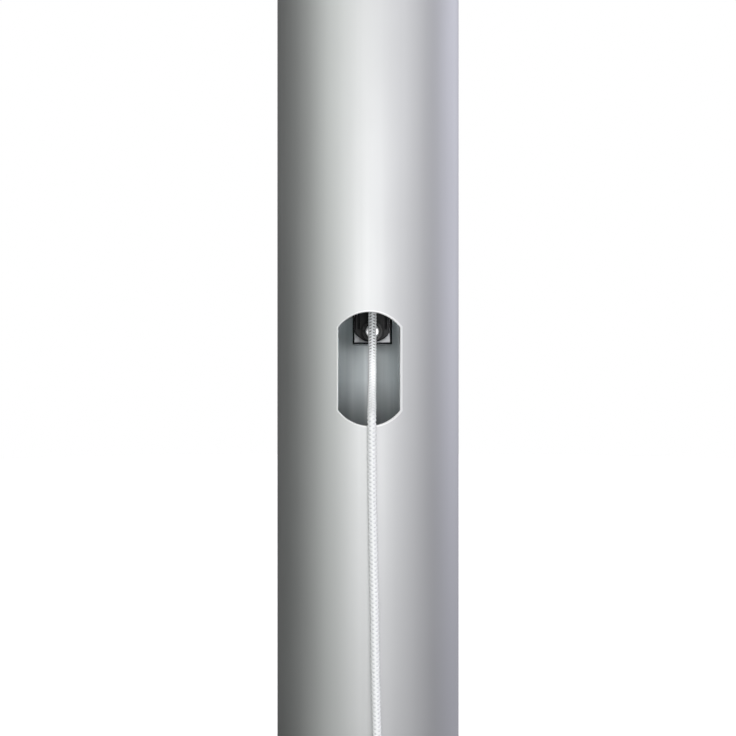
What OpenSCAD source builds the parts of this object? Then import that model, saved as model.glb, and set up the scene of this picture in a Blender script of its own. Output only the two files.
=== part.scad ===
// Flagpole shaft section with an internal halyard.
// A round aluminium tube has a slot-shaped rope outlet in its front. A small pulley block is riveted to the
// inside of the rear wall, level with the top of the outlet. A braided halyard hangs from the guide eye on
// the block, leaves over the lower lip of the outlet and hangs down the front of the shaft.
// Frame: origin at the middle of the foot, +Z up the shaft, the outlet on the -Y side, +X to its right.

/* [Shaft] */
// Outer diameter of the shaft
shaft_d = 90; // [75:0.5:120]
// Wall thickness of the shaft
shaft_wall = 2.5; // [1.5:0.1:4]
// Length of the shaft section
shaft_len = 700; // [580:10:1200]
// Chamfer on the edges of both cut ends
end_chamfer = 0.5; // [0.2:0.1:0.7]

/* [Outlet] */
// Height of the middle of the outlet above the foot
outlet_z = 360; // [300:5:460]
// Width of the outlet
outlet_w = 28.5; // [23.5:0.5:34.5]
// Height of the outlet
outlet_h = 52; // [43:0.5:63]
// Radius of the arcs at its top and bottom
outlet_r = 18; // [17.5:0.5:21.5]
// How far the middle of the outlet lies to the right of the front line
outlet_x = 0.5; // [-2:0.5:2]

/* [Block] */
// Width of the housing
block_w = 20; // [16.5:0.5:24]
// Height of the housing
block_h = 25; // [20.5:0.5:30]
// Wall of the housing
block_wall = 0.8; // [0.6:0.1:1.2]
// Least thickness of the housing's back, which is curved to fit the bore
block_back = 2; // [1.5:0.1:3]
// Height of the housing's underside above the middle of the outlet
block_rise = 12.6; // [10:0.2:16]
// How far the middle of the block lies to the right of the front line
block_x = 2.2; // [0:0.2:4]
// How far the open front of the housing lies behind the shaft's axis
block_y = 12; // [10:0.5:14]
// Thickness of the black edging on the housing's front
trim_t = 0.8; // [0.5:0.1:1.2]
// Thickness of the bright plate behind the body
plate_t = 1.5; // [1:0.1:2]
// Depth of the black body
body_t = 9; // [7.5:0.5:11]
// Radius of the body's round underside
body_r = 10.6; // [9.4:0.1:12.8]
// How far the body's front stands behind the housing's front
body_inset = 3.5; // [3:0.1:4.5]
// Diameter of the two ribs on the body's front
rib_d = 1.2; // [1:0.1:1.5]
// Length of each rib
rib_len = 8; // [6:0.5:9.5]
// Distance from each side of the body to the rib beside it
rib_inset = 2; // [1.6:0.1:2.4]

/* [Sheave] */
// Diameter of the sheave
sheave_d = 10; // [8.4:0.2:10.4]
// Width of the sheave
sheave_w = 2.6; // [2.2:0.1:3]
// Depth of the groove in the sheave's rim
groove = 0.8; // [0.5:0.1:1]
// Diameter of the axle
axle_d = 3; // [2.5:0.1:3.6]
// Diameter of the axle's domed head
axle_head_d = 6.8; // [5.8:0.2:8]
// Height of the axle's domed head
axle_head_t = 1.4; // [1:0.1:1.8]
// Height of the axle above the underside of the housing
axle_rise = 6.6; // [6.4:0.1:8]

/* [Guide eye] */
// Width of the guide eye
eye_w = 13; // [12:0.5:15]
// Thickness of the guide eye
eye_t = 2.4; // [2:0.1:3]
// Diameter of the hole that the rope passes through
eye_hole_d = 6; // [5:0.1:7]
// How far the hole lies behind the shaft's axis
eye_y = 6; // [5:0.5:7]
// Diameter of the screw that holds the eye
screw_d = 3; // [2.5:0.1:3.6]

/* [Rivets] */
// Diameter of the rivets' shanks
rivet_d = 4; // [3:0.1:5]
// Diameter of the rivets' domed heads
rivet_head_d = 8; // [6.5:0.5:9.5]
// Distance between the two rivets
rivet_pitch = 14; // [10:0.5:15]

/* [Halyard] */
// Diameter of the rope
rope_d = 4; // [3.5:0.1:4.4]
// Diameter of the stopper knot and of the tail knot
knot_d = 11; // [10:0.5:13]
// Height of each knot between its flat ends
knot_h = 8; // [7:0.5:8.5]
// Length of the rope's end beyond the tail knot
tail_len = 10; // [6:1:16]
// Length of the rope's end beyond the stopper knot
stub_len = 6; // [4:1:12]

/* [Hidden] */
// Clearances between fixed pieces, of the housing from the bore, of the body from the housing's walls and
// at the sheave's sides
fit = 0.05;
seat_gap = 0.2;
body_gap = 0.3;
run_gap = 0.2;
// Thickness of the washer behind the sheave, of the nuts, of a screw head and of a rivet's inner head
washer_t = 0.5;
nut_t = 2.4;
screw_head_t = 1.8;
rivet_tail_t = 1.5;
rivet_head_t = 2.2;
// How far a screw's end stands out of its nut
screw_end = 0.8;
// Ring on the sheave's front: its inner and outer radius as shares of the sheave's, and its depth
ring_in = 0.66;
ring_out = 0.84;
ring_t = 0.4;
// Width of each rim of the sheave as a share of the sheave's width
rim = 0.2;
// Radius of a rivet's inner head as a share of the rivet's diameter
rivet_tail = 0.8;
// Length by which a cutter runs past what it cuts
past = 1;

shaft_r = shaft_d / 2;
bore_r = shaft_r - shaft_wall;
seat_r = bore_r - seat_gap;

block_z = outlet_z + block_rise;
block_top = block_z + block_h;
cavity_w = block_w - 2 * block_wall;
cavity_z = block_z + block_wall;
cavity_h = block_h - 2 * block_wall;
// Inner face of the housing's back, set by its corner furthest from the front line
back_y = sqrt(seat_r * seat_r - pow(block_x + block_w / 2, 2)) - block_back;

body_y = block_y + body_inset;
plate_y = body_y + body_t;
nut_y = plate_y + plate_t;
body_w = cavity_w - 2 * body_gap;

axle_z = block_z + axle_rise;
sheave_back = body_y - washer_t - run_gap;
sheave_front = sheave_back - sheave_w;
head_y = sheave_front - run_gap;

// The guide eye's screw stands midway between the plate and the housing's back
screw_y = (nut_y + back_y) / 2;
eye_z = block_top;
knot_z = eye_z + eye_t;

rivet_zs = [for (side = [-1, 1]) block_z + block_h / 2 + side * rivet_pitch / 2];

// Number of sides of the rope's tube
rope_sides = 10;
// The rope's middle line from the stopper knot to the tail knot, measured from the middle of the outlet
rope_route = [
    [2.2, 6, 40], [2.2, 6, 36], [2.2, 5.4, 32], [2.2, 3.6, 28], [2.2, 0.6, 23.5], [2.1, -4, 17.5],
    [2.1, -9.5, 11], [2, -15.5, 4.5], [2, -22, -2], [1.9, -28.5, -8], [1.8, -34.5, -13],
    [1.8, -39.5, -16.8], [1.7, -43, -19.2], [1.7, -45.4, -21.2], [1.7, -46.9, -23.8], [1.7, -47.4, -27],
    [1.7, -47.4, -34], [1.8, -47.4, -45], [1.9, -47.5, -57], [2.1, -47.7, -70], [2.4, -48, -85],
    [2.7, -48.3, -100], [3, -48.6, -115], [3.2, -49, -130], [3.5, -49.4, -145], [3.9, -49.8, -160],
    [4.3, -50.2, -175], [4.6, -50.5, -188], [4.7, -50.6, -195], [4.7, -50.6, -200]
];

// Smoothness of round shapes
$fn = 96;

// A cylinder along +Y whose nearer end is at the given place
module along_y(r, length) {
    rotate([-90, 0, 0]) cylinder(r = r, h = length);
}

// A slab whose outline is drawn in X and Z, from y = front towards +Y
module upright(front, depth) {
    translate([0, front + depth, 0]) rotate([90, 0, 0]) linear_extrude(depth) children();
}

// Outline of the outlet: straight sides between two arcs that are wider than the slot
module outlet_outline() {
    arc_z = outlet_h / 2 - outlet_r;
    intersection() {
        square([outlet_w, outlet_h], center = true);
        union() {
            for (side = [-1, 1]) translate([0, side * arc_z]) circle(r = outlet_r);
            square([2 * outlet_r, 2 * arc_z], center = true);
        }
    }
}

module pole_shaft() {
    color("silver") difference() {
        rotate_extrude() polygon([
            [bore_r + end_chamfer, 0], [shaft_r - end_chamfer, 0], [shaft_r, end_chamfer],
            [shaft_r, shaft_len - end_chamfer], [shaft_r - end_chamfer, shaft_len],
            [bore_r + end_chamfer, shaft_len], [bore_r, shaft_len - end_chamfer], [bore_r, end_chamfer]
        ]);
        translate([outlet_x, 0, outlet_z]) upright(-shaft_r - past, shaft_r) outlet_outline();
        for (z = rivet_zs) translate([block_x, bore_r / 2, z]) along_y(rivet_d / 2 + fit, shaft_r);
    }
}

module block_housing() {
    color("lightgray") difference() {
        intersection() {
            translate([block_x - block_w / 2, block_y, block_z]) cube([block_w, shaft_r, block_h]);
            translate([0, 0, block_z - past]) cylinder(r = seat_r, h = block_h + 2 * past);
        }
        translate([block_x - cavity_w / 2, block_y - past, cavity_z])
            cube([cavity_w, back_y - block_y + past, cavity_h]);
        for (z = rivet_zs) translate([block_x, back_y - past, z]) along_y(rivet_d / 2 + fit, shaft_r);
        translate([block_x, screw_y, block_top - block_wall - past])
            cylinder(r = screw_d / 2 + fit, h = block_wall + 2 * past);
    }
}

module edge_trim() {
    color("#1c1d20") upright(block_y - trim_t, trim_t) difference() {
        translate([block_x - block_w / 2, block_z]) square([block_w, block_h]);
        translate([block_x - cavity_w / 2, cavity_z]) square([cavity_w, cavity_h]);
    }
}

module back_plate() {
    color("gainsboro") difference() {
        translate([block_x - cavity_w / 2, plate_y, cavity_z]) cube([cavity_w, plate_t, cavity_h]);
        translate([block_x, plate_y - past, axle_z]) along_y(axle_d / 2 + fit, plate_t + 2 * past);
    }
}

// Outline of the body: upright sides over a round underside that is wider than the housing lets it be
module body_outline() {
    middle_z = cavity_z + body_gap + body_r;
    top_z = cavity_z + cavity_h - body_gap;
    intersection() {
        translate([block_x - body_w / 2, cavity_z]) square([body_w, cavity_h - body_gap]);
        union() {
            translate([block_x, middle_z]) circle(r = body_r);
            translate([block_x - body_r, middle_z]) square([2 * body_r, top_z - middle_z]);
        }
    }
}

module block_body() {
    rib_x = body_w / 2 - rib_inset;
    rib_z = cavity_z + cavity_h - body_gap - 2 * rib_d - rib_len;
    color("#17181b") union() {
        difference() {
            upright(body_y, body_t) body_outline();
            translate([block_x, body_y - past, axle_z]) along_y(axle_d / 2 + fit, body_t + 2 * past);
        }
        for (side = [-1, 1]) translate([block_x + side * rib_x, body_y, rib_z])
            cylinder(r = rib_d / 2, h = rib_len);
    }
}

module sheave() {
    r = sheave_d / 2;
    color("#202126") translate([block_x, sheave_front, axle_z]) rotate([-90, 0, 0]) rotate_extrude()
        difference() {
            polygon([
                [axle_d / 2 + fit, 0], [r, 0], [r, sheave_w * rim], [r - groove, sheave_w / 2],
                [r, sheave_w * (1 - rim)], [r, sheave_w], [axle_d / 2 + fit, sheave_w]
            ]);
            translate([r * ring_in, -past]) square([r * (ring_out - ring_in), past + ring_t]);
        }
}

module axle_washer() {
    color("silver") translate([block_x, body_y - washer_t, axle_z]) difference() {
        along_y(axle_d, washer_t);
        translate([0, -past, 0]) along_y(axle_d / 2 + fit, washer_t + 2 * past);
    }
}

// A domed head of the given diameter and height: its flat base is at z = 0 and the dome rises from it
module dome(d, h) {
    r = (d * d / 4 + h * h) / (2 * h);
    intersection() {
        translate([0, 0, h - r]) sphere(r = r);
        cylinder(r = d / 2 + past, h = h + past);
    }
}

module axle_pin() {
    shank = nut_y + nut_t + screw_end - head_y;
    color("silver") translate([block_x, head_y, axle_z]) union() {
        rotate([90, 0, 0]) dome(axle_head_d, axle_head_t);
        along_y(axle_d / 2, shank);
    }
}

// A hexagon nut about the Z axis, twice the screw's diameter across its corners
module nut(d) {
    difference() {
        cylinder(r = d, h = nut_t, $fn = 6);
        translate([0, 0, -past]) cylinder(r = d / 2 + fit, h = nut_t + 2 * past);
    }
}

module axle_nut() {
    color("silver") translate([block_x, nut_y, axle_z]) rotate([-90, 0, 0]) nut(axle_d);
}

module guide_eye() {
    rear_y = screw_y + eye_w / 2;
    color("silver") translate([0, 0, eye_z]) linear_extrude(eye_t) difference() {
        union() {
            translate([block_x, eye_y]) circle(r = eye_w / 2);
            translate([block_x - eye_w / 2, eye_y]) square([eye_w, rear_y - eye_y]);
        }
        translate([block_x, eye_y]) circle(r = eye_hole_d / 2);
        translate([block_x, screw_y]) circle(r = screw_d / 2 + fit);
    }
}

module eye_screw() {
    shank = eye_t + block_wall + nut_t + screw_end;
    color("silver") translate([block_x, screw_y, eye_z + eye_t]) union() {
        dome(2 * screw_d, screw_head_t);
        translate([0, 0, -shank]) cylinder(r = screw_d / 2, h = shank);
    }
}

module eye_nut() {
    color("silver") translate([block_x, screw_y, block_top - block_wall - nut_t]) nut(screw_d);
}

// A rivet through the shaft's rear wall and the housing's back, its domed head curved to fit the shaft
module rivet(z) {
    head_base = sqrt(pow(shaft_r, 2) - pow(block_x + rivet_head_d / 2, 2));
    tail_y = back_y - rivet_tail_t;
    color("silver") translate([0, 0, z]) union() {
        difference() {
            translate([block_x, head_base, 0]) rotate([-90, 0, 0])
                dome(rivet_head_d, shaft_r - head_base + rivet_head_t);
            translate([0, 0, -rivet_head_d]) cylinder(r = shaft_r + fit, h = 2 * rivet_head_d);
        }
        translate([block_x, tail_y, 0]) along_y(rivet_d / 2, shaft_r + rivet_head_t / 2 - tail_y);
        translate([block_x, tail_y, 0]) along_y(rivet_d * rivet_tail, rivet_tail_t);
    }
}

module upper_rivet() { rivet(rivet_zs[1]); }
module lower_rivet() { rivet(rivet_zs[0]); }

// A knot about the Z axis, flat at both ends, with the rope's own end standing out of its top
module knot(end_len) {
    union() {
        intersection() {
            sphere(r = knot_d / 2);
            cube([knot_d, knot_d, knot_h], center = true);
        }
        translate([0, 0, knot_h / 2]) cylinder(r = rope_d / 2, h = end_len);
    }
}

module stopper_knot() {
    color("white") translate([rope_route[0][0], rope_route[0][1], knot_z + knot_h / 2]) knot(stub_len);
}

module tail_knot() {
    last = rope_route[len(rope_route) - 1];
    color("white") translate([last[0], last[1], outlet_z + last[2] - knot_h / 2]) rotate([180, 0, 0])
        knot(tail_len);
}

function unit(v) = v / norm(v);

// The rope's direction at point i of its route, from the points on both sides of it
function heading(i) =
    unit(rope_route[min(i + 1, len(rope_route) - 1)] - rope_route[max(i - 1, 0)]);

// One ring of the rope's tube at point i, square to the rope there
function ring(i) = let (t = heading(i), u = unit(cross([1, 0, 0], t)), v = cross(t, u))
    [for (k = [0 : rope_sides - 1]) let (a = 360 * k / rope_sides)
        rope_route[i] + rope_d / 2 * (cos(a) * u + sin(a) * v)];

module halyard() {
    n = len(rope_route);
    s = rope_sides;
    points = [for (i = [0 : n - 1]) each ring(i)];
    sides = [for (i = [0 : n - 2], k = [0 : s - 1]) let (m = (k + 1) % s)
        each [[i * s + k, i * s + m, (i + 1) * s + m], [i * s + k, (i + 1) * s + m, (i + 1) * s + k]]];
    start = [for (k = [0 : s - 1]) s - 1 - k];
    end = [for (k = [0 : s - 1]) (n - 1) * s + k];
    color("white") translate([0, 0, outlet_z]) polyhedron(points, concat([start], sides, [end]));
}

pole_shaft();
block_housing();
edge_trim();
back_plate();
block_body();
sheave();
axle_washer();
axle_pin();
axle_nut();
guide_eye();
eye_screw();
eye_nut();
upper_rivet();
lower_rivet();
stopper_knot();
halyard();
tail_knot();
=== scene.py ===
import math

import bmesh
import bpy
import numpy as np
from mathutils import Matrix, Vector


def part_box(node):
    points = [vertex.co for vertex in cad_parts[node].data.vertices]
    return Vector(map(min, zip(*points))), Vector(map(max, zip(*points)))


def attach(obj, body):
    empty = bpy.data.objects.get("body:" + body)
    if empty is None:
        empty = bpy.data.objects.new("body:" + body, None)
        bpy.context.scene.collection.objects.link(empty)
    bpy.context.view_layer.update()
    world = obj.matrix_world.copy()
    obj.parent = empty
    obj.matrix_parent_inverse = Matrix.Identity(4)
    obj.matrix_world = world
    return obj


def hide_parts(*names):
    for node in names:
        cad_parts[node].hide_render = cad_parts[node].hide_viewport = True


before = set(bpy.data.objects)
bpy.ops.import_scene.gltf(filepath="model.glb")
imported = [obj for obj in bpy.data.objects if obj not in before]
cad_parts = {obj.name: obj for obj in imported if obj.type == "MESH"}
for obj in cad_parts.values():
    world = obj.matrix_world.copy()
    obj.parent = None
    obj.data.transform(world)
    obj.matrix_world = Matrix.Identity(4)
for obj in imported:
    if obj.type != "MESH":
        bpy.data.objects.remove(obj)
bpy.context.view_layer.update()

# A flagpole shaft section: a satin aluminium tube, its rope outlet, the pulley block in it and the halyard.
# Lengths are in metres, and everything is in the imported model's own frame, with the outlet facing -Y.

mm = 0.001

outlet = {
    "x": 0.5 * mm,  # its middle
    "z": 360 * mm,
    "width": 28.5 * mm,
    "height": 52 * mm,
    "arc": 18 * mm,  # radius of the arcs at its top and bottom
}

cameraSetting = {"distance": 540 * mm, "lens": 53.0, "raised": 0.4 * mm}


def placeCamera():
    data = bpy.data.cameras.new("shopCamera")
    data.lens = cameraSetting["lens"]
    camera = bpy.data.objects.new("shopCamera", data)
    bpy.context.scene.collection.objects.link(camera)
    camera.location = (0, -cameraSetting["distance"], outlet["z"] + cameraSetting["raised"])
    camera.rotation_euler = (math.radians(90), 0, 0)
    bpy.context.scene.camera = camera
    print("camera placed")


# One wrapped socket. Sums, products and powers of it add Math nodes to its tree.
class Socket:
    def __init__(self, nodes, socket):
        self.nodes = nodes
        self.socket = socket

    def maths(self, operation, *others):
        values = {0: self, **dict(enumerate(others, 1))}
        return self.nodes.add("ShaderNodeMath", {"operation": operation}, values)

    def __add__(self, other):
        return self.maths("ADD", other)

    def __radd__(self, other):
        return self.maths("ADD", other)

    def __sub__(self, other):
        return self.maths("SUBTRACT", other)

    def __rsub__(self, other):
        return self * -1 + other

    def __mul__(self, other):
        return self.maths("MULTIPLY", other)

    def __rmul__(self, other):
        return self.maths("MULTIPLY", other)

    def __pow__(self, power):
        return self.maths("POWER", power)


# The node tree of a material or of the world. add() makes any node, feed() links what varies to its shader.
class Nodes:
    def __init__(self, owner, shader):
        owner.use_nodes = True
        self.owner = owner
        self.tree = owner.node_tree
        self.shader = self.tree.nodes[shader]

    def add(self, kind, settings=None, values=None, output=0):
        node = self.tree.nodes.new(kind)
        for setting, value in (settings or {}).items():
            if setting == "stops":
                ends = node.color_ramp.elements
                ends[0].position, ends[0].color = value[0]
                ends[1].position, ends[1].color = value[-1]
                for place, colour in value[1:-1]:
                    ends.new(place).color = colour
            elif setting == "blending":
                node.color_ramp.interpolation = value
            else:
                setattr(node, setting, value)
        for key, value in (values or {}).items():
            if isinstance(value, Socket):
                self.tree.links.new(value.socket, node.inputs[key])
            else:
                node.inputs[key].default_value = value
        return Socket(self, node.outputs[output])

    def feed(self, **links):
        for name, value in links.items():
            self.tree.links.new(value.socket, self.shader.inputs[name.replace("_", " ")])
        return self.owner

    def place(self, scale=(1, 1, 1), middle=(0, 0, 0)):
        here = self.add("ShaderNodeTexCoord", output="Object")
        shift = [-m * s for m, s in zip(middle, scale)]
        return self.add("ShaderNodeMapping", values={"Vector": here, "Scale": scale, "Location": shift})

    def noise(self, scale, stretch=(1, 1, 1), detail=3.0):
        values = {"Vector": self.place(stretch), "Scale": scale, "Detail": detail}
        return self.add("ShaderNodeTexNoise", values=values)

    def span(self, value, low, high, toLow=0.0, toHigh=1.0, shape="LINEAR"):
        values = {"Value": value, "From Min": low, "From Max": high, "To Min": toLow, "To Max": toHigh}
        return self.add("ShaderNodeMapRange", {"interpolation_type": shape}, values)

    def blend(self, share, low, high):
        values = {0: share, 6: low, 7: high}  # the Mix node's sockets for a factor and two colours
        return self.add("ShaderNodeMix", {"data_type": "RGBA"}, values, output=2)

    def bump(self, height, strength, distance):
        values = {"Height": height, "Strength": strength, "Distance": distance}
        return self.add("ShaderNodeBump", values=values)

    def across(self, vector):
        return self.add("ShaderNodeVectorMath", {"operation": "LENGTH"}, {0: vector}, output="Value")


def newFinish(name, colour, **fixed):
    nodes = Nodes(bpy.data.materials.new(name), "Principled BSDF")
    nodes.shader.inputs["Base Color"].default_value = (*colour, 1)
    for socketName, value in fixed.items():
        nodes.shader.inputs[socketName.replace("_", " ")].default_value = value
    return nodes


# A mesh object at the origin that rides on a body, with its finish and the CAD nodes that it stands for
def settle(name, mesh, material, body="shaft", standsFor=(), weighted=True):
    piece = bpy.data.objects.new(name, mesh)
    bpy.context.scene.collection.objects.link(piece)
    mesh.materials.clear()
    mesh.materials.append(material)
    if weighted:
        mesh.shade_smooth()
        piece.modifiers.new("evenShading", "WEIGHTED_NORMAL").weight = 80
    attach(piece, body)
    if standsFor:
        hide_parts(*standsFor)
    return piece


halyard = {
    "diameter": 4 * mm,
    "sides": 48,
    "step": 0.2 * mm,  # between two rings of the tube
    "strands": 3,  # in each direction
    "phase": 0.0,  # turns the braid about the rope, as a share of a strand
    "pitch": 1.95 * mm,  # from one crossing to the next along the rope
    "relief": 0.36 * mm,
    "dip": 0.9,  # how deep the holes between the strands are
    "paintedShade": (361 * mm, 374 * mm),  # heights between which the painted shade on the rope sets in
    "route": [  # in mm, from the stopper knot to the tail knot, measured from the middle of the outlet
        (2.2, 6, 40), (2.2, 6, 36), (2.2, 5.4, 32), (2.2, 3.6, 28), (2.2, 0.6, 23.5), (2.1, -4, 17.5),
        (2.1, -9.5, 11), (2, -15.5, 4.5), (2, -22, -2), (1.9, -28.5, -8), (1.8, -34.5, -13),
        (1.8, -39.5, -16.8), (1.7, -43, -19.2), (1.7, -45.4, -21.2), (1.7, -46.9, -23.8), (1.7, -47.4, -27),
        (1.7, -47.4, -34), (1.8, -47.4, -45), (1.9, -47.5, -57), (2.1, -47.7, -70), (2.4, -48, -85),
        (2.7, -48.3, -100), (3, -48.6, -115), (3.2, -49, -130), (3.5, -49.4, -145), (3.9, -49.8, -160),
        (4.3, -50.2, -175), (4.6, -50.5, -188), (4.7, -50.6, -195), (4.7, -50.6, -200),
    ],
}

knots = {
    "ring": 2.1 * mm,  # the circle that the knot's turns follow
    "turn": 1.3 * mm,  # how far they swing to each side of it
    "rise": 1.15,  # how far they climb, as a share of that
    "tuck": 0.34,  # where on its turns the rope enters and leaves, in radians
    "half": 4 * mm,  # half the knot's height
    "tail": 10 * mm,
    "stub": 6 * mm,
}


def smoothLine(points, step):
    # a Catmull-Rom curve through the points, respaced to even steps
    points = np.array(points, float)
    ends = np.vstack([2 * points[0] - points[1], points, 2 * points[-1] - points[-2]])
    fine = []
    for before, a, b, after in zip(ends, ends[1:], ends[2:], ends[3:]):
        t = np.linspace(0, 1, 24, endpoint=False)[:, None]
        fine.append(a + t * (b - before) / 2 + t**2 * (before - 2.5 * a + 2 * b - after / 2)
                    + t**3 * (1.5 * (a - b) + (after - before) / 2))
    fine = np.vstack([*fine, points[-1:]])
    along = np.concatenate([[0], np.cumsum(np.linalg.norm(np.diff(fine, axis=0), axis=1))])
    places = np.linspace(0, along[-1], max(8, round(along[-1] / step)))
    return np.stack([np.interp(places, along, fine[:, k]) for k in range(3)], axis=1), places


def braidHeight(angle, along):
    # two families of strands cross over and under each other: 0 in the gaps and 1 on the crowns
    turn = halyard["strands"] * angle / (2 * np.pi) + halyard["phase"]
    a, b = turn + along / halyard["pitch"], turn - along / halyard["pitch"]
    overA = np.cos(np.pi * (b - 0.5 + np.floor(a)))
    overB = -np.cos(np.pi * (a - 0.5 + np.floor(b)))
    roundA, roundB = (np.sqrt(np.maximum(0, 1 - (2 * (x - np.floor(x)) - 1) ** 2)) for x in (a, b))
    strands = np.maximum(0.62 * roundA + 0.38 * overA, 0.62 * roundB + 0.38 * overB)
    gap = (0.5 + 0.5 * np.cos(2 * np.pi * a)) * (0.5 + 0.5 * np.cos(2 * np.pi * b))
    return np.clip(strands - halyard["dip"] * gap**2, 0, 1)


def braidedTube(name, points, sealedStart=False, sealedEnd=False):
    # the rings are carried along the line without twisting, and a sealed end is melted to a dome
    line, along = smoothLine(points, halyard["step"])
    sides, radius = halyard["sides"], halyard["diameter"] / 2
    bm = bmesh.new()
    uv = bm.loops.layers.uv.new("strands")
    crown = bm.verts.layers.float.new("crown")
    side = Vector((1, 0, 0))
    angles = np.arange(sides) * 2 * np.pi / sides
    rings = []
    for k, (middle, place) in enumerate(zip(line, along)):
        ahead = Vector(line[min(k + 1, len(line) - 1)] - line[max(k - 1, 0)]).normalized()
        side = (side - ahead * side.dot(ahead)).normalized()
        other = ahead.cross(side)
        height = braidHeight(angles, place)
        left = min(place if sealedStart else radius, along[-1] - place if sealedEnd else radius)
        dome = 0.4 + 0.6 * math.sqrt(1 - (1 - min(1.0, left / (0.45 * radius))) ** 2)
        ring = []
        for angle, h in zip(angles, height):
            out = side * math.cos(angle) + other * math.sin(angle)
            vert = bm.verts.new(Vector(middle) + out * (radius + halyard["relief"] * (h - 0.75)) * dome)
            vert[crown] = h
            ring.append(vert)
        rings.append(ring)
    for k, (low, high) in enumerate(zip(rings, rings[1:])):
        for i in range(sides):
            m = (i + 1) % sides
            face = bm.faces.new((low[i], low[m], high[m], high[i]))
            for loop, (u, v) in zip(face.loops, ((i, k), (i + 1, k), (i + 1, k + 1), (i, k + 1))):
                loop[uv].uv = (u / sides, along[v])
    bm.faces.new(reversed(rings[0]))
    bm.faces.new(rings[-1])
    for face in bm.faces:
        face.smooth = True
    return asMesh(bm, name), line, float(along[-1])


def asMesh(bm, name):
    mesh = bpy.data.meshes.new(name)
    bm.to_mesh(mesh)
    bm.free()
    return mesh


def knotLine(x, y, z, above, below):
    # an overhand knot: the rope comes down its middle, makes its turns and leaves below
    ring, turn, half = knots["ring"], knots["turn"], knots["half"]
    turns = np.linspace(knots["tuck"], 2 * np.pi - knots["tuck"], 26)
    reach = ring + turn * np.cos(3 * turns)
    coil = [(r * math.cos(2 * t), r * math.sin(2 * t), turn * knots["rise"] * math.sin(3 * t))
            for r, t in zip(reach, turns)]
    top = [(0, 0, above), (0, 0, (above + half) / 2), (0, 0, half)]
    bottom = [(0, 0, -half), (0, 0, -(below + half) / 2), (0, 0, -below)]
    line = [(x + p[0], y + p[1], z + p[2]) for p in [*top[: 3 if above > half else 1], *coil]]
    return line + [(x + p[0], y + p[1], z + p[2]) for p in bottom[0 if below > half else 2:]]


def ropeFinish():
    sheen = {"Sheen_Weight": 0.3, "Sheen_Roughness": 0.4}
    nodes = newFinish("whiteBraid", (0.85, 0.86, 0.87), Roughness=0.7, **sheen)
    uv = nodes.add("ShaderNodeUVMap", {"uv_map": "strands"})
    yarn = nodes.add("ShaderNodeMapping", values={"Vector": uv, "Scale": (70, 3500, 1)})
    fibres = nodes.add("ShaderNodeTexNoise", values={"Vector": yarn, "Scale": 1.0, "Detail": 2.0})
    crown = nodes.add("ShaderNodeAttribute", {"attribute_name": "crown"}, output="Fac")
    crownColour = nodes.blend(nodes.noise(120, (1, 1, 0.3)), (0.87, 0.88, 0.895, 1), (0.94, 0.945, 0.95, 1))
    # painted shade: the gaps between the strands, where crown is low, are painted darker than the crowns all
    # along the rope
    shaded = nodes.span(crown, 0.1, 0.6, shape="SMOOTHSTEP")
    # painted shade: the stretch that runs in the block is painted darker, most of all between its strands
    height = nodes.add("ShaderNodeSeparateXYZ", values={"Vector": nodes.place()}, output="Z")
    upperShade = nodes.span(height, *halyard["paintedShade"], shape="SMOOTHSTEP")
    between = nodes.blend(upperShade, (0.7, 0.71, 0.73, 1), (0.035, 0.037, 0.042, 1))
    crownColour = nodes.blend(upperShade, crownColour, (0.84, 0.85, 0.865, 1))
    colour = nodes.blend(shaded, between, crownColour)
    return nodes.feed(Base_Color=colour, Normal=nodes.bump(fibres, 0.4, 0.1 * mm))


def layRope():
    route = [(x * mm, y * mm, outlet["z"] + z * mm) for x, y, z in halyard["route"]]
    finish = ropeFinish()
    mesh, line, length = braidedTube("halyardRope", route)
    rope = settle("halyardRope", mesh, finish, standsFor=["halyard"], weighted=False)
    (topX, topY, topZ), (lowX, lowY, lowZ) = route[0], route[-1]
    half, tail, stub = knots["half"], knots["tail"], knots["stub"]
    stopperLine = knotLine(topX, topY, topZ + half, half + stub, half)
    tailLine = knotLine(lowX, lowY, lowZ - half, half, half + tail)
    upper, _, _ = braidedTube("stopperKnot", stopperLine, sealedStart=True)
    lower, _, _ = braidedTube("tailKnot", tailLine, sealedEnd=True)
    ends = [settle("stopperKnot", upper, finish, standsFor=["stopper_knot"], weighted=False),
            settle("tailKnot", lower, finish, standsFor=["tail_knot"], weighted=False)]
    print(f"rope laid, {length * 1000:.0f} mm")


# Mesh helpers

def sharpEdges(bm, limit=math.radians(35)):
    return [e for e in bm.edges if len(e.link_faces) == 2 and e.calc_face_angle() > limit]


def soften(bm, width, segments=2, edges=None):
    edges = sharpEdges(bm) if edges is None else edges
    bmesh.ops.bevel(bm, geom=edges, offset=width, segments=segments, profile=0.5, affect="EDGES",
                    material=-1, clamp_overlap=True)
    return bm


def prism(outline, along):
    # the flat outline, pushed straight along the vector
    bm = bmesh.new()
    face = bm.faces.new([bm.verts.new(point) for point in outline])
    pushed = bmesh.ops.extrude_face_region(bm, geom=[face])["geom"]
    bmesh.ops.translate(bm, verts=[v for v in pushed if isinstance(v, bmesh.types.BMVert)], vec=along)
    bmesh.ops.recalc_face_normals(bm, faces=bm.faces)
    return bm


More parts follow.
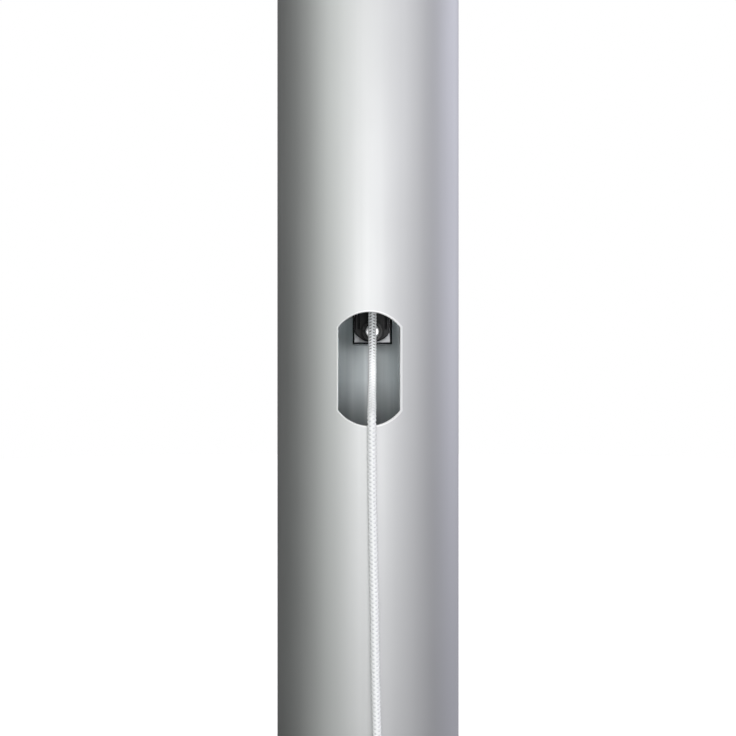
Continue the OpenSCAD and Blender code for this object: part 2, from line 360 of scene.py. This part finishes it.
def turned(profile, centre, axis="Z", steps=72, closed=False):
    # the profile of (radius, height) points, spun about the axis
    bm = bmesh.new()
    verts = [bm.verts.new((radius, 0, height)) for radius, height in profile]
    pairs = list(zip(verts, verts[1:])) + ([(verts[-1], verts[0])] if closed else [])
    edges = [bm.edges.new(pair) for pair in pairs]
    bmesh.ops.spin(bm, geom=verts + edges, cent=(0, 0, 0), axis=(0, 0, 1), angle=2 * math.pi, steps=steps,
                   use_merge=True)
    bmesh.ops.remove_doubles(bm, verts=bm.verts, dist=1e-7)
    bmesh.ops.recalc_face_normals(bm, faces=bm.faces)
    turn = {"Z": Matrix.Identity(3), "Y": Matrix.Rotation(math.radians(-90), 3, "X"),
            "-Y": Matrix.Rotation(math.radians(90), 3, "X")}[axis]
    bmesh.ops.rotate(bm, verts=bm.verts, cent=(0, 0, 0), matrix=turn)
    bmesh.ops.translate(bm, verts=bm.verts, vec=centre)
    return bm


def drill(radius, depth):
    # the profile of a round cutter that starts 1 mm before the surface
    return [(0, -1 * mm), (radius, -1 * mm), (radius, depth), (0, depth)]


def carve(mesh, cutter, operation="DIFFERENCE"):
    # cuts one mesh with another by a Boolean modifier that is applied at once
    blank = bpy.data.objects.new("blank", mesh)
    tool = bpy.data.objects.new("cutter", cutter)
    for piece in (blank, tool):
        bpy.context.scene.collection.objects.link(piece)
    modifier = blank.modifiers.new("carve", "BOOLEAN")
    modifier.operation, modifier.solver, modifier.object = operation, "EXACT", tool
    carved = bpy.data.meshes.new_from_object(blank.evaluated_get(bpy.context.evaluated_depsgraph_get()))
    for piece in (blank, tool):
        bpy.data.objects.remove(piece)
    carved.name = mesh.name
    return carved


def softened(mesh, width, segments=2):
    bm = bmesh.new()
    bm.from_mesh(mesh)
    bmesh.ops.remove_doubles(bm, verts=bm.verts, dist=2e-6)
    return asMesh(soften(bm, width, segments), mesh.name)


def arc(middle, radius, start, end, steps):
    angles = [math.radians(start + (end - start) * k / steps) for k in range(steps + 1)]
    return [(middle[0] + radius * math.cos(a), middle[1] + radius * math.sin(a)) for a in angles]


shaft = {
    "wall": 2.5 * mm,
    "strips": 236,  # flat strips round the tube
    "spanned": 24,  # those that lie within the outlet, whose sides stay clear of where strips meet
    "endRound": 0.5 * mm,
    "rimRound": 0.35 * mm,  # the deburred edge of the outlet
    "boreRound": 0.12 * mm,
    "rivetHole": 2.05 * mm,
    "near": 8e-6,  # a little more than a strip's middle lies inside the true circle
    "lineWidth": (0.6 * mm, 1.15 * mm),  # of the painted highlight along the outlet, on its left and right
    "lineFade": 0.3 * mm,
    "shadeAcross": (-1 * mm, 5 * mm, 20 * mm),  # the bore's painted shade across it: its start, darkest place and end
    "shadeBelow": (328 * mm, 354 * mm),  # heights between which the painted shade on the bore fades out upwards
}


def outletOutline(radius):
    # apart from the corners, its points lie where the tube's strips meet, so the cut edge has no slivers
    x, z, arcRadius = outlet["x"], outlet["z"], outlet["arc"]
    half, rise = outlet["width"] / 2, outlet["height"] / 2 - outlet["arc"]
    strip = 2 * math.pi / shaft["strips"]
    left, right = (math.asin((x + side) / radius) for side in (-half, half))
    first = (left + right - shaft["spanned"] * strip) / 2
    xs = [x - half, *(radius * math.sin(first + strip * k) for k in range(shaft["spanned"] + 1)), x + half]
    top = [(m, z + rise + math.sqrt(arcRadius**2 - (m - x) ** 2)) for m in xs]
    return top + [(m, 2 * z - height) for m, height in reversed(top)], first


def tubeNormals(mesh, radius, bore):
    # both walls are shaded as true cylinders and both cut ends as planes
    length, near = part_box("pole_shaft")[1].z, shaft["near"]
    normals = [Vector(n.vector) for n in mesh.corner_normals]
    for loop in mesh.loops:
        place = mesh.vertices[loop.vertex_index].co
        across = Vector((place.x, place.y, 0))
        if abs(across.length - radius) < near:
            normals[loop.index] = across.normalized()
        elif abs(across.length - bore) < near:
            normals[loop.index] = -across.normalized()
        elif min(place.z, length - place.z) < near:
            normals[loop.index] = Vector((0, 0, 1 if place.z > length / 2 else -1))
    mesh.normals_split_custom_set(normals)


def makeShaft():
    low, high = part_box("pole_shaft")
    radius, length = (high.x - low.x) / 2, high.z
    bore, near = radius - shaft["wall"], shaft["near"]
    corners = [(bore, 0), (radius, 0), (radius, length), (bore, length)]
    bm = turned(corners, (0, 0, 0), steps=shaft["strips"], closed=True)
    soften(bm, shaft["endRound"], 3)
    outline, first = outletOutline(radius)
    turn = Matrix.Rotation(first - math.pi / 2, 3, "Z")
    bmesh.ops.rotate(bm, verts=bm.verts, cent=(0, 0, 0), matrix=turn)
    tube = asMesh(bm, "shaftTube")
    opening = [(x, -radius - 2 * mm, z) for x, z in outline]
    tube = carve(tube, asMesh(prism(opening, (0, radius, 0)), "opening"))
    for node in ("upper_rivet", "lower_rivet"):
        middle = sum(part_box(node), Vector()) / 2
        hole = turned([(0, 0), (shaft["rivetHole"], 0), (shaft["rivetHole"], radius), (0, radius)],
                      (middle.x, bore / 2, middle.z), "Y", 32)
        tube = carve(tube, asMesh(hole, "hole"))
    bm = bmesh.new()
    bm.from_mesh(tube)
    bmesh.ops.remove_doubles(bm, verts=bm.verts, dist=2e-6)

    def liesOn(face, wall):
        return all(abs(math.hypot(v.co.x, v.co.y) - wall) < near for v in face.verts)

    def byOutlet(vert):
        return abs(vert.co.z - outlet["z"]) < outlet["height"] and vert.co.y < 0

    for wall, width, segments in ((radius, shaft["rimRound"], 4), (bore, shaft["boreRound"], 2)):
        rim = [e for e in bm.edges if len(e.link_faces) == 2 and byOutlet(e.verts[0])
               and sum(liesOn(face, wall) for face in e.link_faces) == 1]
        bmesh.ops.bevel(bm, geom=rim, offset=width, segments=segments, profile=0.5, affect="EDGES",
                        material=-1, clamp_overlap=False)
    cut = bm.verts.layers.float.new("cut")
    for v in bm.verts:
        across = math.hypot(v.co.x, v.co.y)
        v[cut] = 1.0 if byOutlet(v) and bore + near < across < radius - near else 0.0
    for face in bm.faces:
        face.smooth = True
    tube = asMesh(bm, "shaftTube")
    tubeNormals(tube, radius, bore)
    settle("shaftTube", tube, shaftFinish(radius, bore, length), standsFor=["pole_shaft"],
           weighted=False)
    print(f"shaft made, {len(tube.polygons)} faces")


def shaftFinish(radius, bore, length):
    nodes = newFinish("satinAnodised", (0.8, 0.805, 0.81), Metallic=1.0)
    here = nodes.place()
    parts = {key: nodes.add("ShaderNodeSeparateXYZ", values={"Vector": here}, output=key) for key in "XYZ"}
    away = (parts["X"] * parts["X"] + parts["Y"] * parts["Y"]) ** 0.5
    inside = nodes.span(away, bore + 0.4 * mm, bore + 0.9 * mm, 1.0, 0.0)
    fromMiddle = nodes.span((parts["Z"] - length / 2).maths("ABSOLUTE"), length / 2 - 0.1 * mm, length / 2)
    cutEdge = nodes.add("ShaderNodeAttribute", {"attribute_name": "cut"}, output="Fac")
    # how far outside the outlet's outline this is, for the painted highlight along it
    rise = outlet["height"] / 2 - outlet["arc"]
    x, z = parts["X"] - outlet["x"], (parts["Z"] - outlet["z"]).maths("ABSOLUTE") - rise
    outsideArcs = (x * x + z * z) ** 0.5 - outlet["arc"]
    beyond = (x.maths("ABSOLUTE") - outlet["width"] / 2).maths("MAXIMUM", outsideArcs)
    wide = nodes.span(x, -0.3 * outlet["width"], 0.5 * outlet["width"], *shaft["lineWidth"])
    rimHighlight = ((wide - beyond) * (1 / shaft["lineFade"]) + 0.5).maths("MAXIMUM", 0).maths("MINIMUM", 1)
    rimHighlight = rimHighlight * nodes.span(parts["Y"], -0.2 * radius, 0, 1.0, 0.0)
    lines = nodes.noise(900, (1, 1, 0.004), 2.0)  # fine lines along the extrusion
    bands = nodes.noise(110, (1, 1, 0.02), 2.0)  # broader, fainter bands
    clouds = nodes.noise(26, (1, 1, 0.5), 4.0)
    streaks = nodes.noise(260, (1, 1, 0.03), 3.0)
    outer = nodes.blend(nodes.span(bands, 0.3, 0.7), (0.785, 0.79, 0.795, 1), (0.805, 0.81, 0.815, 1))
    inner = nodes.blend(nodes.span(streaks, 0.3, 0.7), (0.66, 0.71, 0.725, 1), (0.84, 0.88, 0.89, 1))
    # painted shade: the bore is painted darker on the right of the rope and below the outlet
    start, darkest, end = shaft["shadeAcross"]
    across = nodes.span(parts["X"], start, darkest, 1.0, 0.6) + nodes.span(parts["X"], darkest, end, 0.0, 0.7)
    clear = nodes.span(parts["Z"], *shaft["shadeBelow"], 0.4, 1.0) * across
    inner = nodes.blend(clear, (0.03, 0.036, 0.04, 1), inner)
    # painted highlight: white is painted along the outlet's outline on the front of the tube
    outer = nodes.blend(rimHighlight, outer, (1, 1, 1, 1))
    colour = nodes.blend(inside, outer, inner)
    # the outlet's cut wall is bare metal; it is also painted near-white and made less metallic, as a painted
    # highlight round the outlet
    colour = nodes.blend(cutEdge, colour, (0.97, 0.975, 0.98, 1))
    rough = nodes.span(clouds, 0.3, 0.7, 0.53, 0.57) + (lines - 0.5) * 0.06
    saw = nodes.add("ShaderNodeTexWave", {"bands_direction": "DIAGONAL"},
                    {"Vector": here, "Scale": 700.0, "Distortion": 1.5, "Detail": 2.0})
    grain = lines * 0.35 + bands * 0.3 + streaks * inside * 0.8 + saw * fromMiddle * 0.9
    return nodes.feed(Base_Color=colour, Roughness=rough, Metallic=1 - cutEdge * 0.6,
                      Normal=nodes.bump(grain, 0.12, 0.05 * mm))


block = {
    "wall": 0.8 * mm,
    "back": 38.5 * mm,  # inner face of the housing's back
    "trimRound": 0.3 * mm,
    "screwHole": 1.55 * mm,
}


def makeHousing():
    low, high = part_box("block_housing")
    wall = block["wall"]
    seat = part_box("pole_shaft")[1].x - shaft["wall"] - 0.2 * mm  # radius of the curved back
    bm = bmesh.new()
    bmesh.ops.create_cube(bm, size=1)
    bmesh.ops.scale(bm, verts=bm.verts, vec=high - low)
    bmesh.ops.translate(bm, verts=bm.verts, vec=(low + high) / 2)
    front = [f for f in bm.faces if f.normal.y < -0.9]
    bmesh.ops.inset_region(bm, faces=front, thickness=wall)
    hollow = bmesh.ops.extrude_discrete_faces(bm, faces=front)["faces"]
    bmesh.ops.translate(bm, verts=hollow[0].verts, vec=(0, block["back"] - low.y, 0))
    back = [e for e in bm.edges if all(v.co.y > high.y - wall for v in e.verts)
            and abs(e.verts[0].co.x - e.verts[1].co.x) > wall]
    bmesh.ops.subdivide_edges(bm, edges=back, cuts=11, use_grid_fill=True)
    for v in bm.verts:
        if v.co.y > high.y - wall:
            v.co.y = math.sqrt(seat**2 - v.co.x**2)
    soften(bm, 0.15 * mm, 2)
    screw = sum(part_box("eye_screw"), Vector()) / 2
    hole = turned([(0, -wall), (block["screwHole"], -wall), (block["screwHole"], wall), (0, wall)],
                  (screw.x, screw.y, high.z), steps=32)
    mesh = carve(asMesh(bm, "blockHousing"), asMesh(hole, "hole"))
    nodes = newFinish("dullHousing", (0.5, 0.52, 0.53), Metallic=1.0)
    clouds = nodes.noise(300, (1, 1, 0.6), 4.0)
    colour = nodes.blend(clouds, (0.4, 0.42, 0.43, 1), (0.64, 0.655, 0.67, 1))
    finish = nodes.feed(Base_Color=colour, Roughness=nodes.span(clouds, 0.3, 0.7, 0.34, 0.5),
                        Normal=nodes.bump(nodes.noise(2500), 0.15, 0.05 * mm))
    settle("blockHousing", mesh, finish, standsFor=["block_housing"])


def makeTrim():
    low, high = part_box("edge_trim")
    wall = block["wall"]

    def slab(inset, start, depth):
        left, right, foot, head = low.x + inset, high.x - inset, low.z + inset, high.z - inset
        corners = [(left, start, foot), (right, start, foot), (right, start, head), (left, start, head)]
        return asMesh(prism(corners, (0, depth, 0)), "edgeTrim")

    mesh = carve(slab(0, low.y, high.y - low.y), slab(wall, low.y - wall, 3 * wall))
    bm = bmesh.new()
    bm.from_mesh(mesh)
    front = [e for e in sharpEdges(bm) if all(v.co.y < low.y + 1e-6 for v in e.verts)]
    soften(bm, block["trimRound"], 4, front)
    nodes = newFinish("blackEdging", (0.01, 0.01, 0.012), Roughness=0.7, Specular_IOR_Level=0.15)
    speckle = nodes.noise(1500)
    colour = nodes.blend(speckle, (0.004, 0.0045, 0.005, 1), (0.012, 0.0125, 0.014, 1))
    finish = nodes.feed(Base_Color=colour, Roughness=nodes.span(speckle, 0.3, 0.7, 0.62, 0.8),
                        Normal=nodes.bump(speckle, 0.3, 0.05 * mm))
    settle("edgeTrim", asMesh(bm, "edgeTrim"), finish, standsFor=["edge_trim"])


body = {
    "round": 10.6 * mm,  # radius of its underside
    "rib": 1.2 * mm,  # diameter of the two ribs
    "ribLength": 14 * mm,
    "ribInset": 2 * mm,  # from each side of the body
    "ribChamfer": 0.2 * mm,
    "edge": 0.45 * mm,
    "groove": (5.6 * mm, 6.0 * mm, 0.35 * mm),  # ring round the sheave: inner and outer radius, and depth
    "bore": 1.55 * mm,
}


def makeBody():
    low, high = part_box("block_body")
    pin = sum(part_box("sheave"), Vector()) / 2
    front = low.y + body["rib"] / 2
    middle, half = (low.x + high.x) / 2, (high.x - low.x) / 2
    hub = low.z + body["round"]
    spread = math.degrees(math.asin(half / body["round"]))
    curve = arc((middle, hub), body["round"], -90 - spread, -90 + spread, 40)
    outline = [(x, front, z) for x, z in [*curve, (high.x, high.z), (low.x, high.z)]]
    mesh = asMesh(soften(prism(outline, (0, high.y - front, 0)), body["edge"], 3), "blockBody")
    inner, outer, depth = body["groove"]
    centre = (pin.x, front, pin.z)
    section = [(inner, -depth), (outer, -depth), (outer, depth), (inner, depth)]
    groove = turned(section, centre, "Y", 96, closed=True)
    bore = turned(drill(body["bore"], 12 * mm), centre, "Y", 32)
    for cutter in (groove, bore):
        mesh = carve(mesh, asMesh(cutter, "cutter"))
    bm = bmesh.new()
    bm.from_mesh(mesh)
    reach, top = half - body["ribInset"], high.z - 2 * body["rib"]
    long, thick, chamfer = body["ribLength"], body["rib"] / 2, body["ribChamfer"]
    profile = [(0, -long), (thick * 0.7, -long), (thick, chamfer - long), (thick, -chamfer),
               (thick * 0.7, 0), (0, 0)]
    for side in (-1, 1):
        bar = turned(profile, (middle + side * reach, front, top), steps=24)
        bm.from_mesh(asMesh(bar, "rib"))
    mesh = asMesh(bm, "blockBody")
    nodes = newFinish("blackNylon", (0.012, 0.013, 0.016), Specular_IOR_Level=0.25)
    grain = nodes.noise(1800, detail=4.0)
    colour = nodes.blend(nodes.noise(200), (0.004, 0.0045, 0.006, 1), (0.01, 0.0105, 0.013, 1))
    finish = nodes.feed(Base_Color=colour, Roughness=nodes.span(grain, 0.3, 0.7, 0.3, 0.46),
                        Normal=nodes.bump(grain, 0.2, 0.04 * mm))
    settle("blockBody", mesh, finish, standsFor=["block_body"])


sheave = {
    "bore": 1.55 * mm,
    "ring": (0.66, 0.84, 0.4 * mm),  # recess in its face: inner and outer radius as shares, and depth
    "groove": 0.8 * mm,
    "rim": 0.2,  # width of each rim as a share
    "gate": 0.35 * mm,  # radius of the moulding mark
    "gateDepth": 0.15 * mm,
    "gateAt": 0.92,  # its distance from the middle as a share
}


def makeSheave():
    low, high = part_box("sheave")
    radius, width = (high.x - low.x) / 2, high.y - low.y
    inner, outer, depth = sheave["ring"]
    rim = sheave["rim"] * width
    steps = 8
    groove = [(radius - sheave["groove"] * math.sin(math.pi * k / steps) ** 0.8,
               rim + (width - 2 * rim) * k / steps) for k in range(steps + 1)]
    profile = [(sheave["bore"], 0), (radius * inner, 0), (radius * inner, depth), (radius * outer, depth),
               (radius * outer, 0), (radius, 0), *groove, (radius, width), (sheave["bore"], width)]
    centre = ((low.x + high.x) / 2, low.y, (low.z + high.z) / 2)
    bm = turned(profile, centre, "Y", 96, closed=True)
    soften(bm, 0.08 * mm, 2)
    place = (centre[0] - radius * sheave["gateAt"], low.y, centre[2])
    mark = turned(drill(sheave["gate"], sheave["gateDepth"]), place, "Y", 20)
    mesh = carve(asMesh(bm, "ropeSheave"), asMesh(mark, "mark"))
    nodes = newFinish("turnedAcetal", (0.018, 0.019, 0.022))
    rings = nodes.across(nodes.place((1, 0, 1), centre))
    tool = (rings * 16000).maths("SINE")
    colour = nodes.blend(nodes.span(tool, -1, 1), (0.008, 0.0085, 0.01, 1), (0.02, 0.021, 0.024, 1))
    finish = nodes.feed(Base_Color=colour, Roughness=nodes.span(nodes.noise(700), 0.3, 0.7, 0.26, 0.4),
                        Normal=nodes.bump(tool, 0.25, 0.02 * mm))
    settle("ropeSheave", mesh, finish, body="wheel", standsFor=["sheave"])


def steelFinish(name, level, rough, blue=0.01):
    nodes = newFinish(name, (level, level, level + blue), Metallic=1.0)
    scuffs = nodes.noise(900, (1, 1, 1), 5.0)
    low, high = (level * 0.86,) * 2, (min(1.0, level * 1.1),) * 2
    colour = nodes.blend(scuffs, (*low, low[0] + blue, 1), (*high, high[0] + blue, 1))
    return nodes.feed(Base_Color=colour, Roughness=nodes.span(scuffs, 0.3, 0.7, rough * 0.8, rough * 1.25),
                      Normal=nodes.bump(nodes.noise(4000), 0.08, 0.02 * mm))


def domeProfile(radius, height, steps=10):
    # from the rim of a domed head to the top of it, with a small upright edge
    edge = height * 0.18
    ball = (radius**2 + (height - edge) ** 2) / (2 * (height - edge))
    spread = math.asin(radius / ball)
    angles = [spread * (1 - k / steps) for k in range(steps + 1)]
    return [(radius, 0)] + [(ball * math.sin(t), height - ball * (1 - math.cos(t))) for t in angles]


fastener = {
    "pinHead": (3.4 * mm, 1.4 * mm),  # radius and height
    "pinRound": 0.45 * mm,  # at the edge of its nearly flat face
    "pinSag": 0.12 * mm,
    "pin": 1.5 * mm,
    "pinPlain": 13 * mm,  # the smooth stretch of its shank
    "screwHead": (3 * mm, 1.8 * mm),
    "socket": (1.15 * mm, 1.1 * mm),  # six-sided: from its middle to a corner, and depth
    "screw": 1.5 * mm,
    "screwPlain": 2.6 * mm,
    "bore": 1.55 * mm,  # of what they pass through
    "thread": 0.5 * mm,  # its pitch
    "threadDepth": 0.16 * mm,
    "nut": 3 * mm,  # from its middle to a corner
    "rivetHead": (4 * mm, 2.2 * mm),
    "rivetTail": (3.2 * mm, 1.5 * mm),
    "rivet": 2 * mm,
    "stem": 1.1 * mm,
}


def threadProfile(radius, length, plain):
    # a shank below z = 0, smooth at first and then ridged like a thread
    pitch, chamfer = fastener["thread"], 0.3 * mm
    ridges = []
    z = plain
    while z + pitch < length - pitch:
        ridges += [(radius, -z), (radius - fastener["threadDepth"], -z - pitch / 2)]
        z += pitch
    tip = [(radius, -z), (radius, -length + chamfer), (radius * 0.75, -length), (0, -length)]
    return [(radius, 0), *ridges, *tip]


def makeAxle():
    low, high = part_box("axle_pin")
    radius, height = fastener["pinHead"]
    centre = ((low.x + high.x) / 2, low.y + height, (low.z + high.z) / 2)
    shank = threadProfile(fastener["pin"], high.y - low.y - height, fastener["pinPlain"])
    rounded, sag = fastener["pinRound"], fastener["pinSag"]
    head = [(radius, 0), *arc((radius - rounded, height - sag - rounded), rounded, 0, 84, 8), (0, height)]
    profile = [*reversed(head), *shank]
    settle("axlePin", asMesh(turned(profile, centre, "-Y", 64), "axlePin"),
           steelFinish("polishedPin", 0.86, 0.3), standsFor=["axle_pin"])


def makeNut(name, node, axis):
    low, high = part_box(node)
    size, chamfer = fastener["nut"], 0.35 * mm
    along = {"Y": Vector((0, 1, 0)), "Z": Vector((0, 0, 1))}[axis]
    thick = (high - low).dot(along)
    base = (low + high) / 2 - along * thick / 2
    hexagon = turned([(0, 0), (size, 0), (size, thick), (0, thick)], base, axis, 6)
    narrow = size * 0.84  # at both faces
    section = [(0, 0), (narrow, 0), (size, chamfer), (size, thick - chamfer), (narrow, thick), (0, thick)]
    lathe = turned(section, base, axis, 48)
    bore = turned(drill(fastener["bore"], thick + 1 * mm), base, axis, 32)
    mesh = carve(asMesh(hexagon, name), asMesh(lathe, "lathe"), "INTERSECT")
    mesh = carve(mesh, asMesh(bore, "bore"))
    settle(name, mesh, steelFinish(name + "Steel", 0.6, 0.32), standsFor=[node])


guideEye = {
    "hole": 3 * mm,  # radius of the hole for the rope
    "edge": 0.4 * mm,
}


def makeGuideEye():
    low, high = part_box("guide_eye")
    rope = Vector((halyard["route"][0][0] * mm, halyard["route"][0][1] * mm, low.z))
    half = (high.x - low.x) / 2
    curve = arc((rope.x, rope.y), half, -180, 0, 36)
    outline = [(x, y, low.z) for x, y in [*curve, (high.x, high.y), (low.x, high.y)]]
    mesh = asMesh(prism(outline, (0, 0, high.z - low.z)), "guideEye")
    screw = sum(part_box("eye_screw"), Vector()) / 2
    for x, y, radius in ((rope.x, rope.y, guideEye["hole"]), (screw.x, screw.y, fastener["bore"])):
        hole = turned(drill(radius, 5 * mm), (x, y, low.z), steps=48)
        mesh = carve(mesh, asMesh(hole, "hole"))
    settle("guideEye", softened(mesh, guideEye["edge"], 3), steelFinish("eyeSteel", 0.62, 0.3),
           standsFor=["guide_eye"])


def makeScrew():
    low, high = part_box("eye_screw")
    radius, height = fastener["screwHead"]
    centre = ((low.x + high.x) / 2, (low.y + high.y) / 2, high.z - height)
    shank = threadProfile(fastener["screw"], centre[2] - low.z, fastener["screwPlain"])
    mesh = asMesh(turned([*reversed(domeProfile(radius, height)), *shank], centre, steps=48), "eyeScrew")
    wide, deep = fastener["socket"]
    socket = turned([(0, 0), (wide, 0), (wide, 2 * deep), (0, 2 * deep)],
                    (centre[0], centre[1], high.z - deep), steps=6)
    mesh = carve(mesh, asMesh(socket, "socket"))
    settle("eyeScrew", mesh, steelFinish("screwSteel", 0.6, 0.26), standsFor=["eye_screw"])


def makeRivet(name, node):
    low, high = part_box(node)
    (radius, height), (tail, tailHeight) = fastener["rivetHead"], fastener["rivetTail"]
    centre = ((low.x + high.x) / 2, high.y - height, (low.z + high.z) / 2)
    # the broken stem sits sunk in the middle of the head
    stem, shankRadius, under = fastener["stem"], fastener["rivet"], 0.4 * mm
    head = [(x, z) for x, z in domeProfile(radius, height, 12) if x > stem + 0.2 * mm]
    dimple = [(stem + 0.15 * mm, height - 0.12 * mm), (stem, height - 0.55 * mm),
              (stem - 0.1 * mm, height - 0.5 * mm), (0, height - 0.42 * mm)]
    inner = centre[1] - low.y
    shank = [(shankRadius, 0), (shankRadius, tailHeight - inner), (tail, tailHeight - inner),
             (tail, 0.35 * mm - inner), (tail * 0.8, -inner), (0, -inner)]
    lip = [(radius - 0.1 * mm, -under), (shankRadius, -under)]
    mesh = asMesh(turned([*reversed(dimple), *reversed(head), *lip, *shank], centre, "Y", 64), name)
    settle(name, mesh, steelFinish(name + "Finish", 0.76, 0.34, 0.005), standsFor=[node])


def finishPlainNodes():
    # the two CAD nodes whose shape is right as it is
    nodes = newFinish("brightZinc", (0.74, 0.75, 0.77), Metallic=1.0)
    brushed = nodes.noise(1400, (0.03, 1, 1), 3.0)
    colour = nodes.blend(brushed, (0.38, 0.39, 0.4, 1), (0.54, 0.55, 0.565, 1))
    plate = nodes.feed(Base_Color=colour, Roughness=nodes.span(brushed, 0.3, 0.7, 0.38, 0.52),
                       Normal=nodes.bump(brushed, 0.1, 0.03 * mm))
    for node, finish in (("back_plate", plate), ("axle_washer", steelFinish("washerSteel", 0.6, 0.3))):
        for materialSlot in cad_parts[node].material_slots:
            materialSlot.material = finish


studio = {
    # soft panels round the object: where each one starts and ends, in degrees from the front and positive
    # to the right, and its light
    "panels": [
        (-50, -30, (1.2, 1.25, 1.2)),
        (36, 58, (1.35, 1.35, 1.4)),
        (109, 140, (1.1, 1.1, 1.25)),
    ],
    "fade": 20,  # degrees over which a panel fades out
    "between": (0.05, 0.05, 0.05),
    "lowShare": 0.3,  # how much of it comes from below the horizon
    "horizon": (-0.3, 0.15),  # heights between which one passes into the other
    "overhead": (0.3, 0.3, 0.3),
    "overheadFrom": (0.55, 0.9),
    "scale": 2.0,  # the ramp holds half of the light
    "floor": 4.0,  # radius
    "key": {"place": (0.08, -2.4, 0.36), "aim": (0, 0, 0.36), "size": (1.6, 1.6), "power": 24},
    "rear": {"place": (0, 2.4, 0.5), "aim": (0, 0, 0.36), "size": (0.8, 1.2), "power": 10},
    "side": {"place": (0.32, -1.3, 0.44), "aim": (0, -0.04, 0.28), "size": (0.3, 0.3),
             "power": 5.2},  # for the rope alone
    "fill": {"place": (9 * mm, -40 * mm, 376 * mm), "aim": (-20 * mm, 30 * mm, 368 * mm),
             "size": (9 * mm, 14 * mm), "power": 0.0044},  # what comes in through the outlet
}


def addPanel(name):
    setting = studio[name]
    panel = bpy.data.objects.new(name, bpy.data.lights.new(name, "AREA"))
    bpy.context.scene.collection.objects.link(panel)
    panel.data.shape = "RECTANGLE"
    panel.data.size, panel.data.size_y = setting["size"]
    panel.data.energy = setting["power"]
    panel.location = setting["place"]
    panel.rotation_euler = (Vector(setting["aim"]) - panel.location).to_track_quat("-Z", "Y").to_euler()
    panel.visible_camera = False
    return panel


def pieceGroup(name, pieces):
    group = bpy.data.collections.new(name)
    for piece in pieces:
        group.objects.link(bpy.data.objects[piece])
    return group


def lightStudio():
    scene = bpy.context.scene
    scene.view_settings.view_transform = "Standard"
    scene.world = bpy.data.worlds.new("studio")
    nodes = Nodes(scene.world, "Background")
    toward = nodes.add("ShaderNodeTexCoord", output="Generated")
    x, y, z = (nodes.add("ShaderNodeSeparateXYZ", values={"Vector": toward}, output=key) for key in "XYZ")
    azimuth = x.maths("ARCTAN2", y * -1) * (0.5 / math.pi) + 0.5
    scale, fade, between = studio["scale"], studio["fade"], studio["between"]
    around = [(-180, between), (180, between)]
    for start, end, colour in studio["panels"]:
        around += [(start - fade, between), (start, colour), (end, colour), (end + fade, between)]
    stops = [((angle + 180) / 360, (*[c / scale for c in colour], 1)) for angle, colour in sorted(around)]
    lit = nodes.add("ShaderNodeValToRGB", {"blending": "B_SPLINE", "stops": stops}, {"Fac": azimuth})
    strength = nodes.span(z, *studio["horizon"], studio["lowShare"] * scale, scale, "SMOOTHSTEP")
    lit = nodes.add("ShaderNodeVectorMath", {"operation": "SCALE"}, {0: lit, "Scale": strength})
    high = nodes.span(z, *studio["overheadFrom"], shape="SMOOTHSTEP")
    lit = nodes.blend(high, lit, (*studio["overhead"], 1))
    seen = nodes.add("ShaderNodeLightPath", output="Is Camera Ray")
    nodes.feed(Color=nodes.blend(seen, lit, (1, 1, 1, 1)))
    _, rear, side, _ = (addPanel(name) for name in ("key", "rear", "side", "fill"))
    roped = pieceGroup("roped", ("halyardRope", "stopperKnot", "tailKnot"))
    side.light_linking.receiver_collection = side.light_linking.blocker_collection = roped
    rear.light_linking.receiver_collection = pieceGroup("behind", ("shaftTube", "upperRivet", "lowerRivet"))
    print("studio lit")


def layFloor():
    bm = bmesh.new()
    bmesh.ops.create_circle(bm, cap_ends=True, segments=96, radius=studio["floor"])
    bmesh.ops.translate(bm, verts=bm.verts, vec=(0, 0, -0.2 * mm))
    floor = bpy.data.objects.new("studioFloor", asMesh(bm, "studioFloor"))
    bpy.context.scene.collection.objects.link(floor)
    glow = {"Emission_Color": (1, 1, 1, 1), "Emission_Strength": 0.8}
    nodes = newFinish("paleFloor", (0.9, 0.9, 0.9), Roughness=0.8, **glow)
    floor.data.materials.append(nodes.owner)
    floor.visible_glossy = False
    floor.visible_diffuse = False


placeCamera()
layRope()
makeShaft()
makeHousing()
makeTrim()
makeBody()
makeSheave()
makeAxle()
makeNut("axleNut", "axle_nut", "Y")
makeGuideEye()
makeScrew()
makeNut("eyeNut", "eye_nut", "Z")
makeRivet("upperRivet", "upper_rivet")
makeRivet("lowerRivet", "lower_rivet")
finishPlainNodes()
print("pulley block made")
layFloor()
lightStudio()
